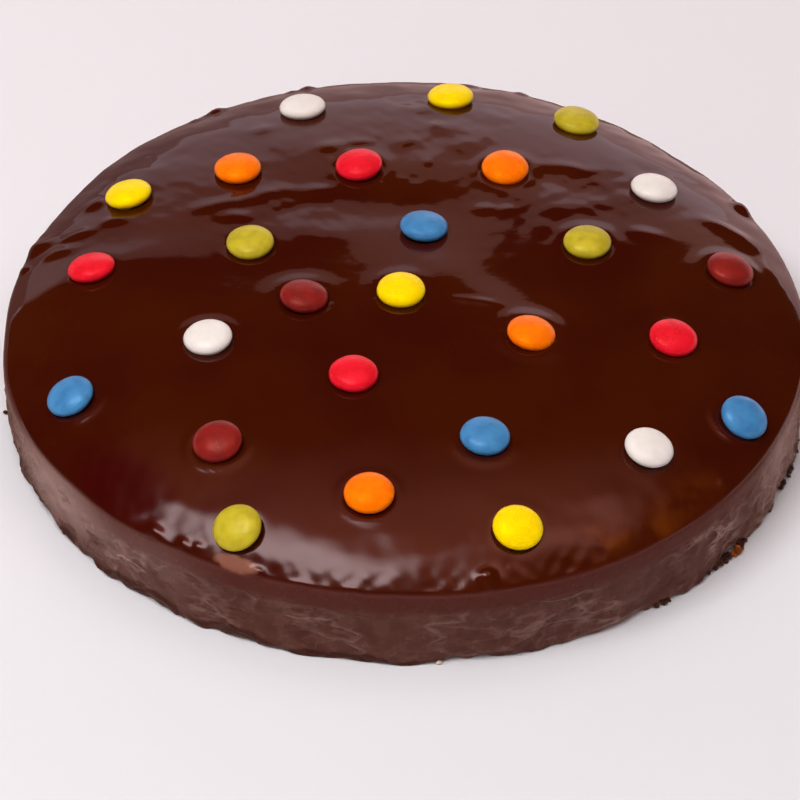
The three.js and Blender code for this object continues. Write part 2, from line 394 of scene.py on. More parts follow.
def near_bearing(bearings, middle, spread):
    """1 at a bearing in degrees, less and less away from it."""
    return np.exp((np.cos(bearings - math.radians(middle)) - 1) / math.radians(spread) ** 2)


def flat_waves(spots, length, seed, count=16):
    """Gentle waves in all directions over the floor's plane, of height about 1."""
    draw = random.Random(seed)
    total = np.zeros(len(spots))
    for _ in range(count):
        turn = draw.uniform(0, 2 * math.pi)
        wave = 2 * math.pi / (length * draw.uniform(0.7, 1.5))
        along = spots[:, 0] * math.cos(turn) + spots[:, 1] * math.sin(turn)
        total += np.cos(wave * along + draw.uniform(0, 2 * math.pi))
    return total / math.sqrt(count / 2)


def round_waves(bearings, across, lobes, length, seed, count=16):
    """Waves drawn out round the cake: many lobes to the turn, and short across."""
    draw = random.Random(seed)
    total = np.zeros(len(bearings))
    for _ in range(count):
        turns = draw.randint(*lobes) * draw.choice((-1, 1))
        wave = 2 * math.pi / (length * draw.uniform(0.7, 1.5))
        total += np.cos(turns * bearings + wave * across + draw.uniform(0, 2 * math.pi))
    return total / math.sqrt(count / 2)


# %% Wave the dome
def polar(piece):
    """Each point's bearing, distance from the axis and height."""
    x, y, height = places(piece).T
    return np.arctan2(y, x), np.hypot(x, y), height


spots = places(glaze)
bearings, out, height = polar(glaze)
on_dome = ease(rim_height + 0.3 * MM, rim_height + 2 * MM, height)

far_side = ease(-10 * MM, 70 * MM, spots[:, 1])
front_shoulder = ease(88 * MM, 108 * MM, out) * near_bearing(bearings, -100, 45)
busy = np.clip(0.5 + 0.6 * flat_waves(spots, 60 * MM, 41, count=8), 0.1, 1.3)

far_rim = far_side * ease(98 * MM, 109 * MM, out)
brink = ease(111 * MM, 116 * MM, out) * near_bearing(bearings, -92, 26)
DOME_WAVES = [
    # height, where, length and seed, and the lobes of those drawn out round the cake
    (0.030, 1, 30, 11), (0.035, far_side * busy, 13, 12, (8, 36)),
    (0.060, far_side * busy, 20, 18), (0.032, far_side * (0.3 + busy), 11, 16),
    (0.014, far_side * (0.5 + busy), 5.5, 13), (0.05, front_shoulder, 12, 19, (3, 18)),
    (0.07, front_shoulder, 17, 14), (0.022, front_shoulder, 8, 15),
    (0.10, far_rim, 19, 28), (0.035, far_rim, 8, 27), (0.055, brink, 6, 20, (50, 150)),
]
dome_waves = np.zeros(len(spots))
for high, where, length, seed, *lobes in DOME_WAVES:
    if lobes:
        waves = round_waves(bearings, out, lobes[0], length * MM, seed)
    else:
        waves = flat_waves(spots, length * MM, seed)
    dome_waves += high * where * waves
emboss(glaze, "waves", dome_waves * MM * on_dome)
print("highest wave:", round(float(dome_waves.max()), 2), "mm")

# %% [markdown]
# ## The glaze: rings round the lentils
#
# A lentil that is pressed in pushes a low ring of glaze up round itself, and how high it stands
# depends on how hard it was pressed, and from which side. The rings are most of what one sees of
# the glaze in the middle of the cake: their far sides mirror the pale backdrop, and the near ones
# the light. Under the lentil the face goes down into the seat, as it does in the solid.

# %% Raise the rings and press the seats
LENTIL_RADIUS = 7.2 * MM
RING_RADIUS = 8.6 * MM
RING_INNER_WIDTH = 0.9 * MM
RING_DEPTH = 8 * MM
COMMON_RING = (0.07, 2.2, 90)
RINGS = {
    # height and outer width in millimetres, and the side on which the ring is highest
    "lentil_01": (0.45, 3.0, 120),
    "lentil_03": (0.55, 3.6, 125),
    "lentil_04": (0.55, 3.4, 80),
    "lentil_05": (0.42, 2.6, 90),
    "lentil_06": (0.30, 2.6, 60),
    "lentil_07": (0.14, 2.4, -90),
    "lentil_08": (0.34, 2.6, 110),
    "lentil_10": (0.36, 1.6, -80),
    "lentil_11": (0.50, 3.2, 110),
    "lentil_12": (0.50, 3.0, 100),
    "lentil_20": (0.42, 1.3, -85),
    "lentil_21": (0.46, 1.4, -105),
    "lentil_23": (0.36, 1.4, -92),
    "lentil_26": (0.50, 1.3, -135),
    "lentil_27": (0.15, 2.4, 90),
}
SEAT_CLEARANCE = 0.1 * MM

spots = places(glaze)
rings = np.zeros(len(spots))
seat_depths = np.zeros(len(spots))
for name, (middle, axis) in lies.items():
    away = spots - np.array(middle)
    along = away @ np.array(axis)
    off_axis = np.sqrt(np.maximum((away**2).sum(axis=1) - along**2, 0))
    near = np.abs(along) < RING_DEPTH
    height, width, side = RINGS.get(name, COMMON_RING)
    uneven = 0.62 + 0.38 * np.cos(np.arctan2(away[:, 1], away[:, 0]) - math.radians(side))
    width = np.where(off_axis < RING_RADIUS, RING_INNER_WIDTH, width * MM)
    ring = np.exp(-(((off_axis - RING_RADIUS) / width) ** 2))
    rings += near * ring * uneven * height * MM
    share = np.clip(off_axis / LENTIL_RADIUS, 0, 1)
    under = LENTIL_THICKNESS / 2 * (1 - np.sqrt(1 - share**2))
    seat_depths += near * np.clip(LENTIL_SUNK + SEAT_CLEARANCE - under, 0, None)
emboss(glaze, "rings", rings)
emboss(glaze, "seats", -seat_depths)
print("deepest seat:", round(float(seat_depths.max()) / MM, 2), "mm")

# %% [markdown]
# ## The glaze: lumps, swells and dents
#
# Crumbs that came loose under the glaze show as lumps, the largest along the rim, and the glaze
# sagged a little between the lentils. Each is a dab: a spot of relief at a bearing and a distance
# from the axis, with a length, a breadth and a heading. A soft dab is round like a hill. A blunt
# one has a flat top and steep sides, as a crumb under a thin coat has.

# %% Dab the swells and the small lumps
SWELLS = [
    # bearing, distance, length, breadth, height, heading: degrees and millimetres
    (99, 39, 56, 26, -0.95, -6),
    (29, 12, 24, 20, 0.55, -20),
    (-18, 23, 26, 18, 0.70, -32),
    (-31, 40, 24, 18, 0.80, -36),
    (-33, 54, 20, 12, 0.25, -30),
    (40, 58, 20, 18, 0.30, 30),
    (43, 71, 14, 10, -0.30, -10),
    (171, 86, 34, 18, 0.75, 6),
    (178, 104, 22, 14, 0.70, 35),
    (142, 40, 26, 14, 0.35, 0),
]
SMALL_LUMPS = [
    (153.3, 105.4, 7.5, 5.5, 0.95, 35), (162.4, 103.9, 9, 4, 0.62, 10),
    (163.9, 115.9, 8, 6.5, 1.5, 50), (166.9, 107.8, 7, 4, 0.62, 0),
    (169.0, 117.1, 3.4, 3, 0.7, 60), (158.1, 94.8, 7, 4.4, 0.6, 0),
    (108.6, 72.6, 9, 6, 0.55, 5), (101.7, 73.0, 10, 4, 0.40, 8),
    (83.8, 82.2, 3.4, 3.4, 0.3, 0), (22.3, 102.1, 10, 5, 0.6, -20),
    (19.4, 106.4, 10, 6, 0.7, -25), (21.5, 77.7, 10, 5, 0.45, -15),
    (51.1, 77.8, 16, 5, 0.45, -8), (120.1, 53.7, 12, 5, 0.42, 5),
    (146.4, 59.9, 10, 6, 0.5, 0), (119.2, 91.8, 9, 5, 0.42, 20),
    (132.8, 61.5, 13, 4.4, 0.40, 15), (138.9, 62.6, 13, 5, 0.38, 20),
    (145.4, 69.8, 16, 5, 0.42, 20), (83.9, 61.1, 3.4, 3, 0.22, 0),
    (91.2, 51.7, 3.4, 3, 0.2, 0), (86.3, 49.3, 4.4, 3, 0.24, 0),
    (97.7, 48.9, 4, 3, 0.2, 0), (57.3, 44.6, 7, 4.4, 0.36, -5),
    (50.5, 48.4, 5.4, 3.6, 0.34, 10), (-24.6, 18.1, 5, 3, 0.26, 0),
    (-20.5, 24.8, 8, 3.4, 0.32, -10),
]


def dab(spots, bearing, distance, length, breadth, height, heading, blunt=1):
    """A spot of relief on the cake's skin, in metres."""
    place = np.array(around(distance * MM, bearing, 0))
    away = (spots - place)[:, :2]
    turn = math.radians(heading)
    along = away @ np.array((math.cos(turn), math.sin(turn)))
    across = away @ np.array((-math.sin(turn), math.cos(turn)))
    size = (2 * along / (length * MM)) ** 2 + (2 * across / (breadth * MM)) ** 2
    return height * MM * np.exp(-(size**blunt))


spots = places(glaze)
on_dome = ease(rim_height + 0.5 * MM, rim_height + 2 * MM, spots[:, 2])
dabs = sum(dab(spots, *spot) for spot in SWELLS + SMALL_LUMPS)
emboss(glaze, "dabs", dabs * on_dome)
print("dabs:", len(SWELLS + SMALL_LUMPS))

# %% Raise the lumps along the rim
RIM_LUMPS = [
    # bearing, distance, length round the rim, breadth, height: degrees and millimetres
    (28, 117.4, 7.0, 5.4, 1.9), (72, 118.0, 4.6, 3.6, 0.8), (80.5, 118.0, 7.0, 4.0, 0.8),
    (105.5, 118.2, 5.0, 3.6, 1.4), (108, 117.6, 3.4, 3.0, 0.8), (120.5, 118.2, 5.6, 4.0, 1.3),
    (124.5, 117.4, 3.6, 3.0, 0.7), (161, 117.6, 5.4, 4.4, 0.7), (-150, 117.6, 4.2, 3.4, 0.5),
    (-110, 118.0, 4.0, 3.0, 0.9), (-78, 116.2, 5.0, 4.6, 1.5), (-38, 117.2, 4.4, 3.6, 0.5),
    (-126.4, 118.0, 5.6, 3.2, 0.8), (-121.6, 117.6, 3.4, 3.0, 0.7), (-119.6, 116.8, 3.0, 2.4, 0.5),
    (-104, 118.6, 9.0, 2.4, 0.3), (-97, 118.2, 6.0, 2.6, 0.3), (-86, 118.4, 5.0, 2.4, 0.3),
]
spots = places(glaze)
upper = ease(rim_height - 1.5 * MM, rim_height + 0.8 * MM, spots[:, 2])
lumps = sum(dab(spots, *lump, lump[0] + 90, blunt=1.3) for lump in RIM_LUMPS)
emboss(glaze, "lumps", lumps * upper, direction="Z")
print("lumps along the rim:", len(RIM_LUMPS), "highest:", round(float(lumps.max()) / MM, 2), "mm")

# %% [markdown]
# ## The glaze: the wall
#
# The glaze ran thin down the side. Under the rim it is smooth for a few millimetres, and below
# that the crumb of the sponge shows through: low ridges where glaze stayed, drawn out round the
# cake, with shallow hollows between them. A ridge is where a wave crosses zero, so its line
# wanders and forks by itself, and as every wave has a whole number of lobes, the wall closes.

# %% Ridge the wall
def ridges(waves, width):
    """1 where a wave crosses zero, 0 away from there."""
    return np.exp(-((waves / width) ** 2))


bearings, out, height = polar(glaze)
outside = ease(112 * MM, 116 * MM, out)
below_band = 1 - ease(rim_height - 6.5 * MM, rim_height - 3 * MM, height)
wall = outside * below_band
lean = 1.6 * near_bearing(bearings, -45, 30) - 0.6 * near_bearing(bearings, -150, 25)
rise = height + 1.5 * MM * round_waves(bearings, height, (4, 16), 40 * MM, 21) - lean * MM

broad = ridges(round_waves(bearings, rise, (8, 34), 13 * MM, 22), 0.40)
narrow = ridges(round_waves(bearings, rise, (16, 60), 9 * MM, 23), 0.32)
hollows = round_waves(bearings, rise, (20, 70), 12 * MM, 24)
pits = round_waves(bearings, height, (60, 160), 5 * MM, 25)
calm = 1 - 0.5 * near_bearing(bearings, -92, 22)
relief = (0.50 * broad + 0.26 * narrow + 0.16 * hollows + 0.04 * pits) * calm - 0.20
emboss(glaze, "wall", relief * MM * wall)
print("wall relief:", round(float(relief.min()), 2), "to", round(float(relief.max()), 2), "mm")

# %% Waver the hem
HEM_WAVE = 30 * MM

bearings, _, height = polar(glaze)
low = 1 - ease(0.5 * MM, 5 * MM, height)
waver = 0.30 * round_waves(bearings, height, (5, 30), HEM_WAVE, 31)
waver += 0.14 * round_waves(bearings, height, (40, 130), HEM_WAVE, 33)
emboss(glaze, "hem", waver * MM * low)
lowest = 1 - ease(0.3 * MM, 1.5 * MM, height)
lift = 0.12 * (1 + np.clip(round_waves(bearings, height, (15, 90), HEM_WAVE, 32), -1, 2.5))
emboss(glaze, "lift", lift * MM * lowest, direction="Z")
print("the hem wavers by up to", round(float(waver.max()), 2), "mm")

# %% [markdown]
# ## The glaze: the inside
#
# A coat is a shell, so the hem turns in by 3 mm and an inner wall and an inner dome follow the
# outer ones at that depth. They rest on the sponge and nobody sees them, so a few rows will do.
# Both poles are closed by merging their last ring of points.

# %% Turn the hem in and line the coat
INNER_FOOT = 115.9 * MM
INNER_RADII = (114.0, 108, 98, 80, 50, 20, 4)
COAT_DEPTH = 2.9 * MM


def open_points(piece):
    """Marks the points on the piece's open edges."""
    to_mode("EDIT")
    bpy.ops.mesh.select_mode(type="VERT")
    bpy.ops.mesh.select_all(action="DESELECT")
    bpy.ops.mesh.select_non_manifold()
    to_mode("OBJECT")
    marks = np.zeros(len(piece.data.vertices), dtype=bool)
    piece.data.vertices.foreach_get("select", marks)
    return marks


def close_and_smooth():
    """Merges the selected ring into a pole, and turns the closed piece's faces outward."""
    bpy.ops.mesh.merge(type="CENTER")
    bpy.ops.mesh.select_all(action="SELECT")
    bpy.ops.mesh.normals_make_consistent(inside=False)
    bpy.ops.mesh.faces_shade_smooth()
    to_mode("OBJECT")


# Two rings are open, the hem and the crown, and the high one is the crown.
pick(glaze)
choose(glaze, open_points(glaze) & (places(glaze)[:, 2] >= 10 * MM))
bpy.ops.mesh.merge(type="CENTER")
to_mode("OBJECT")

inner_rows = [(INNER_FOOT, HEM_HEIGHT + 0.3 * MM), (INNER_FOOT + 0.8 * MM, rim_height - 4 * MM)]
for radius in INNER_RADII:
    inner_rows.append((radius * MM, dome_height(radius * MM) - COAT_DEPTH))
choose(glaze, open_points(glaze))
raise_rows((FOOT_RADIUS, HEM_HEIGHT), inner_rows)
close_and_smooth()
glaze.data.calc_loop_triangles()
print("triangles of the coat:", len(glaze.data.loop_triangles), "open:", int(open_points(glaze).sum()))

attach(glaze, "root")
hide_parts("glaze")

# %% [markdown]
# ## The sponge
#
# The baked base hides inside the coat and shows only its foot, a flat brown crumb face that a
# tin has left. It is turned like the coat, ring by ring, and a fine cloud texture roughens it:
# the side is moved in and the sole is pitted. What would sink into the table is set down on it.

# %% Turn the sponge
SPONGE_SEGMENTS = 240
FIRST_RING = (4 * MM, 0)
SOLE_RADII = range(8, 113, 4)
EDGE_ROWS = [
    # distance from the axis and height, in millimetres
    (113.2, 0.02), (114.2, 0.15), (114.7, 0.5), (115.0, 1.0), (115.1, 2.4), (115.2, 4), (115.3, 6),
    (115.5, 9), (115.6, 12), (115.7, 15), (115.8, 19.5),
]
TOP_RADII = (112.5, 106, 96, 80, 60, 40, 20, 5)
SPONGE_DEPTH = 3.4 * MM
sponge_rows = [(radius * MM, 0) for radius in SOLE_RADII]
sponge_rows += [(radius * MM, height * MM) for radius, height in EDGE_ROWS]
for radius in TOP_RADII:
    sponge_rows.append((radius * MM, dome_height(radius * MM) - SPONGE_DEPTH))

sponge = start_ring("sponge_base", SPONGE_SEGMENTS, *FIRST_RING)
raise_rows(FIRST_RING, sponge_rows)
bpy.ops.mesh.merge(type="CENTER")
to_mode("OBJECT")
choose(sponge, open_points(sponge))
close_and_smooth()
print("points of the sponge:", len(sponge.data.vertices))

# %% Roughen its crumb
CRUMB_GRAIN = 4 * MM

spots = places(sponge)
paint(sponge, "skin", np.where(spots[:, 2] > 1 * MM, 1.0, 0.0))
paint(sponge, "sole", np.where(spots[:, 2] < 0.05 * MM, 1.0, 0.0))
crumb = bpy.data.textures.new("crumb", "CLOUDS")
crumb.noise_scale = CRUMB_GRAIN
for group, strength, mid_level in (("skin", 0.6 * MM, 1.0), ("sole", -0.5 * MM, 0.35)):
    finish_with(
        sponge, "DISPLACE", group,
        texture=crumb, vertex_group=group, mid_level=mid_level, strength=strength,
    )
bpy.data.textures.remove(crumb)
spots = places(sponge)
sponge_low = float(spots[:, 2].min())
if sponge_low < 0:
    pick(sponge)
    scale_points(sponge, spots[:, 2] < 0, (1, 1, 0))
print("lowest of the sponge:", round(sponge_low / MM, 2), "mm before it was set down")

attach(sponge, "root")
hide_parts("sponge")

# %% [markdown]
# ## The lentils
#
# A sugar shell is panned on a tumbling chocolate centre, so it is smooth, a little uneven and
# nearly an ellipsoid, with a fuller edge. One is shaped from a ball: flattened, then each ring of
# points is let out a little. The others are copies, each with its own mesh, turned to the axis of
# its solid and put in its place. A faint cloud texture then makes each one slightly different.

# %% Shape one lentil
EDGE_FULLNESS = 0.9

bpy.ops.object.select_all(action="DESELECT")
bpy.ops.mesh.primitive_uv_sphere_add(segments=64, ring_count=32, radius=LENTIL_RADIUS)
pattern = bpy.context.object
pattern.name = "lentil_pattern"
to_mode("EDIT")
bpy.ops.mesh.select_all(action="SELECT")
bpy.ops.transform.resize(value=(1, 1, LENTIL_THICKNESS / 2 / LENTIL_RADIUS))
to_mode("OBJECT")
spots = places(pattern)
for ring_height in sorted(set(np.round(spots[:, 2], 7))):
    lift = math.asin(max(-1, min(1, ring_height / (LENTIL_THICKNESS / 2))))
    if math.cos(lift) < 0.05:
        continue
    let_out = math.cos(lift) ** (EDGE_FULLNESS - 1)
    scale_points(pattern, np.abs(spots[:, 2] - ring_height) < 1e-6, (let_out, let_out, 1))
bpy.ops.object.shade_smooth()
print("points of a lentil:", len(pattern.data.vertices))

# %% Copy it to every place
PANNING_WAVE = 6 * MM
PANNING_DEPTH = 0.22 * MM

shell_clouds = bpy.data.textures.new("shell_clouds", "CLOUDS")
shell_clouds.noise_scale = PANNING_WAVE
lentils = {}
for name, (middle, axis) in lies.items():
    pick(pattern)
    bpy.ops.object.duplicate()
    lentil = bpy.context.object
    lentil.name = "shell_" + name[-2:]
    upright = Vector((0, 0, 1)).rotation_difference(axis).to_matrix().to_4x4()
    lentil.matrix_world = Matrix.Translation(middle) @ upright
    bpy.ops.object.transform_apply()
    finish_with(
        lentil, "DISPLACE", "panning",
        texture=shell_clouds, mid_level=0.5, strength=PANNING_DEPTH,
    )
    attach(lentil, "root")
    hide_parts(name)
    lentils[name] = lentil
bpy.data.objects.remove(pattern)
bpy.data.textures.remove(shell_clouds)
print("lentils copied:", len(lentils))

# %% [markdown]
# ## Crumbs
#
# A few crumbs of the sponge broke off where the glaze ends, most of them on the right. A crumb is
# a small ball with a coarse cloud texture to break its round, and no two are alike. Most are as
# dark as the cake, two are amber and one is pale. Those of one finish are joined into one
# piece, which lies on the table and leans on the hem.

# %% Scatter the listed crumbs
CRUMBS = [
    # bearing, distance and size, in degrees and millimetres, and the number of its finish
    (-10.8, 119.8, 1.3, 0), (-13.2, 119.9, 1.5, 0), (-16.3, 119.8, 1.5, 0), (-17.0, 120.2, 1.7, 0),
    (-17.9, 119.9, 2.2, 0), (-18.6, 120.6, 1.2, 0), (-20.4, 119.8, 2.3, 0), (-21.4, 119.8, 1.8, 0),
    (-26.5, 120.0, 1.5, 0), (-33.9, 119.9, 1.6, 0), (-34.9, 120.1, 2.0, 0), (-35.3, 121.0, 1.0, 0),
    (-36.2, 121.0, 2.6, 1), (-37.1, 120.7, 1.8, 1), (-38.2, 120.1, 2.6, 0), (-39.0, 120.8, 1.6, 0),
    (-40.0, 120.1, 2.5, 0), (-41.1, 120.0, 2.0, 0), (-42.4, 119.9, 1.6, 0), (-50.3, 119.8, 1.7, 0),
    (-51.3, 119.9, 2.1, 0), (-52.4, 119.8, 1.6, 0), (-146, 118.7, 1.4, 0), (-173.7, 119.9, 1.4, 0),
    (-84.8, 119.6, 1.3, 2),
]
draw = random.Random(5)
crumb = bpy.data.textures.new("crumb", "CLOUDS")
crumb_pieces = []
for bearing, distance, size, finish in CRUMBS:
    bpy.ops.object.select_all(action="DESELECT")
    place = around(distance * MM, bearing, size * 0.55 * MM)
    bpy.ops.mesh.primitive_ico_sphere_add(subdivisions=3, radius=size / 2 * MM, location=place)
    piece = bpy.context.object
    piece.scale = [draw.uniform(0.8, 1.25), draw.uniform(0.8, 1.2), draw.uniform(0.6, 0.85)]
    bpy.ops.object.transform_apply()
    crumb.noise_scale = size * 0.38 * MM
    finish_with(piece, "DISPLACE", "crumble", texture=crumb, strength=size * 0.8 * MM)
    piece.location.z = -float(places(piece)[:, 2].min())
    bpy.ops.object.transform_apply()
    crumb_pieces.append((piece, finish))
bpy.data.textures.remove(crumb)
print("crumbs shaped:", len(crumb_pieces))

# %% Join the crumbs of one finish
crumbs = {}
for finish, name in enumerate(("crumbs_dark", "crumbs_amber", "crumb_sugar")):
    group = [piece for piece, its_finish in crumb_pieces if its_finish == finish]
    bpy.ops.object.select_all(action="DESELECT")
    for piece in group:
        piece.select_set(True)
    bpy.context.view_layer.objects.active = group[0]
    if len(group) > 1:
        bpy.ops.object.join()
    group[0].name = name
    bpy.ops.object.shade_flat()
    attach(group[0], "root")
    crumbs[name] = group[0]
    print(name, len(group))

# %% [markdown]
# ## Finishes: shader maths as sums
#
# A finish is a small net of nodes. `Finish.node` adds any of them and gives back a `Wire`, and
# wires can be added and multiplied like numbers, which adds the Math nodes by itself.

# %% Wires and finishes
class Wire:
    """An output socket that can be reckoned with."""

    def __init__(self, finish, socket):
        self.finish, self.socket = finish, socket

    def reckon(self, operation, *values):
        numbered = dict(enumerate(values))
        return self.finish.node("Math", {"operation": operation}, numbered)

    def __add__(self, other):
        return self.reckon("ADD", self, other)

    def __sub__(self, other):
        return self.reckon("SUBTRACT", self, other)

    def __rsub__(self, other):
        return self.reckon("SUBTRACT", other, self)

    def __mul__(self, other):
        return self.reckon("MULTIPLY", self, other)

    __radd__ = __add__
    __rmul__ = __mul__


class Finish:
    """A material, and the nodes that make it."""

    def __init__(self, name, owner=None):
        self.material = owner or bpy.data.materials.new(name)
        self.material.use_nodes = True
        self.tree = self.material.node_tree
        self.tree.nodes.clear()

    def node(self, kind, settings=None, values=None, output=0):
        """Any shader node: its kind, its settings, and the values or wires of its sockets."""
        node = self.tree.nodes.new("ShaderNode" + kind)
        for key, value in (settings or {}).items():
            if key == "stops":
                ramp = node.color_ramp.elements
                while len(ramp) < len(value):
                    ramp.new(1)
                for stop, (position, colour) in zip(ramp, value):
                    stop.position, stop.color = position, colour
            else:
                setattr(node, key, value)
        for key, value in (values or {}).items():
            if isinstance(value, Wire):
                self.tree.links.new(value.socket, node.inputs[key])
            else:
                node.inputs[key].default_value = value
        return Wire(self, node.outputs[output]) if node.outputs else None

    def place(self):
        return self.node("TexCoord", output="Object")

    def parts(self, vector):
        """The three numbers of a vector."""
        first = self.node("SeparateXYZ", values={0: vector})
        outputs = first.socket.node.outputs
        return [Wire(self, outputs[axis]) for axis in range(3)]

    def length(self, vector):
        return self.node("VectorMath", {"operation": "LENGTH"}, {0: vector}, output="Value")

    def noise(self, place, scale, detail=2, roughness=0.5, distortion=0):
        """A cloudy value round 0.5, with about as many clouds to the metre as its scale."""
        values = {"Vector": place, "Scale": scale, "Detail": detail}
        values.update({"Roughness": roughness, "Distortion": distortion})
        return self.node("TexNoise", values=values)

    def between(self, value, low, high, to_low=0, to_high=1):
        """Moves a value smoothly from one span to another, and holds it there."""
        values = {0: value, 1: low, 2: high, 3: to_low, 4: to_high}
        settings = {"interpolation_type": "SMOOTHSTEP", "clamp": True}
        return self.node("MapRange", settings, values)

    def blend(self, mask, first, second, kind="MIX"):
        """Mixes two colours, or adds the second to the first."""
        values = {0: mask, 6: first, 7: second}
        return self.node("Mix", {"data_type": "RGBA", "blend_type": kind}, values, output=2)

    def fade_from(self, place, middle, size, heading=0, core=0.3):
        """1 round a place, and smoothly 0 outside an ellipsoid of this half-size."""
        values = {"Vector": place, "Location": middle, "Scale": size}
        values["Rotation"] = (0, 0, math.radians(heading))
        moved = self.node("Mapping", {"vector_type": "TEXTURE"}, values)
        return self.between(self.length(moved), core, 1, 1, 0)

    def bump(self, height, distance):
        values = {"Height": height, "Distance": distance, "Strength": 1}
        return self.node("Bump", values=values)

    def shader(self, **values):
        """A shader whose sockets are named with _ for a space."""
        named = {key.replace("_", " "): value for key, value in values.items()}
        return self.node("BsdfPrincipled", values=named)

    def surface(self, shader=None, **values):
        """The material, ending in this shader or in a new one."""
        self.node("OutputMaterial", values={"Surface": shader or self.shader(**values)})
        return self.material

    def glow(self, tone, strength):
        """The material, ending in a light of its own."""
        values = {"Color": tone, "Strength": strength}
        return self.surface(self.node("Emission", values=values))


def dress(piece, material):
    piece.data.materials.clear()
    piece.data.materials.append(material)


def colour(red, green, blue):
    return (red, green, blue, 1)


# %% [markdown]
# ## The glaze's finish
#
# Dark chocolate is nearly black, with a red-brown glow. On the top it set with a mirror gloss. On
# the wall it ran thin over the crumb and set duller and browner. Both are one coat, so both are
# one finish: a glossy shader for the top and a satin one for the wall, mixed by the height.

# %% Mix the colours of the top
GLAZE_TOP = colour(0.037, 0.0028, 0.0007)
GLAZE_TOP_WARM = colour(0.046, 0.0056, 0.0006)
GLAZE_MIRRORED_DARK = colour(0.038, 0.0012, 0.0010)
GLAZE_THIN = colour(0.108, 0.021, 0.0016)
GLAZE_PAINTED_HIGHLIGHT = colour(0.25, 0.095, 0.060)
THIN_PATCHES = [
    # bearing, distance, half-length, half-breadth and strength, where the sponge glows through
    (-46, 114, 22, 8, 0.45), (-57, 117, 20, 5, 1.0), (-62, 113, 10, 6, 0.6), (-50, 117, 12, 4, 0.6),
]
MIRRORED_DARK_PLACE = (112 * MM, -135)
HIGHLIGHT_SPOT = (117.4 * MM, -113.2)


def on_face(distance, bearing):
    """A place on the face of the dome."""
    return around(distance, bearing, dome_height(distance))


coat = Finish("dark_glaze")
place = coat.place()
east, north, up = coat.parts(place)
top = coat.between(up, rim_height + 0.4 * MM, rim_height + 2.2 * MM)
drift = coat.noise(place, 22, detail=3)
top_colour = coat.blend(coat.between(drift, 0.35, 0.65), GLAZE_TOP, GLAZE_TOP_WARM)
mottle = coat.between(coat.noise(place, 66, detail=3, distortion=0.5), 0.40, 0.60)
for bearing, distance, length, breadth, strength in THIN_PATCHES:
    size = (length * MM, breadth * MM, 12 * MM)
    thin = coat.fade_from(place, on_face(distance * MM, bearing), size, bearing + 90)
    thin = thin * mottle * strength
    top_colour = coat.blend(thin, top_colour, GLAZE_THIN)
# At the left of the front shoulder the colour is painted a darker, less orange maroon: painted shade
# where the glaze mirrors only the dark room, without the warm glow that it mirrors elsewhere.
size = (30 * MM, 16 * MM, 12 * MM)
maroon = coat.fade_from(place, on_face(*MIRRORED_DARK_PLACE), size, MIRRORED_DARK_PLACE[1] + 90)
top_colour = coat.blend(maroon, top_colour, GLAZE_MIRRORED_DARK)
# A pale spot on the front shoulder is a painted highlight: the soft light's reflection, tinted as a
# thin coat tints it, painted into the colour and broken up by a fine noise. It is mixed into the
# wall's colour as well.
size = (12.5 * MM, 4.4 * MM, 5 * MM)
painted_highlight = coat.fade_from(place, on_face(*HIGHLIGHT_SPOT), size, -24, core=0.1)
highlight_breakup = coat.noise(place, 210, detail=3, roughness=0.6)
painted_highlight = coat.between(painted_highlight * 1.3 + highlight_breakup, 1.0, 1.5)
top_colour = coat.blend(painted_highlight * 0.85, top_colour, GLAZE_PAINTED_HIGHLIGHT)

# %% [markdown]
# The crisp lines on the wall are finer than the mesh, so they are in the finish: the places where
# a noise passes through its middle value, drawn out round the cake by making the height count
# for more. Each is a small ledge in the bump, and it is painted pale as well, a painted highlight
# where its upper edge would catch the light.

# %% Line the finish of the wall
GLAZE_BAND = colour(0.085, 0.021, 0.016)
GLAZE_WALL = colour(0.106, 0.042, 0.033)
GLAZE_WALL_DARK_AND_SHADE = colour(0.072, 0.024, 0.018)
GLAZE_LEDGE_HIGHLIGHT = colour(0.38, 0.24, 0.205)
GLAZE_PAINTED_SHADE = colour(0.036, 0.009, 0.006)
GLAZE_SIDE_SHEEN = colour(0.34, 0.215, 0.190)
SIDE_SHEEN_PATCHES = [
    # bearing, half-length in millimetres and strength
    (-147, 38, 0.95), (-128, 34, 0.2), (-22, 24, 0.75),
]


def drawn_out(flatten):
    """The place with its height made to count for more, which draws a pattern out sideways."""
    return coat.node("CombineXYZ", values={0: east, 1: north, 2: up * flatten})


def ledges(scale, flatten, width):
    """Thin wandering lines: 1 on them, 0 beside them."""
    waves = coat.noise(drawn_out(flatten), scale, detail=3, roughness=0.45, distortion=0.25)
    waves = waves - 0.5
    return coat.between(waves.reckon("ABSOLUTE", waves), 0, width, 1, 0)


kept = coat.between(coat.noise(place, 48, detail=2), 0.38, 0.60)
below_band = coat.between(up, rim_height - 7 * MM, rim_height - 3.5 * MM, 1, 0)
lines = (ledges(46, 2.6, 0.046) * 0.8 + ledges(95, 1.8, 0.055) * 0.4) * kept * below_band
towards_sides = coat.between(north * (-1 / CAKE_RADIUS), 0.72, 0.99, 1, 0)
crumbly = coat.noise(place, 170, detail=4, roughness=0.55)
wall_colour = coat.blend(coat.between(crumbly, 0.30, 0.60), GLAZE_WALL_DARK_AND_SHADE, GLAZE_WALL)
wall_colour = coat.blend(below_band, GLAZE_BAND, wall_colour)
# Broad pale patches on the left and the right of the wall are a painted sheen: the light from the
# sides that the wall would catch, painted into its colour.
for bearing, length, strength in SIDE_SHEEN_PATCHES:
    middle = around(CAKE_RADIUS, bearing, 17 * MM)
    size = (length * MM, 20 * MM, 17 * MM)
    pale = coat.fade_from(place, middle, size, bearing + 90, core=0.1)
    wall_colour = coat.blend(pale * strength, wall_colour, GLAZE_SIDE_SHEEN)
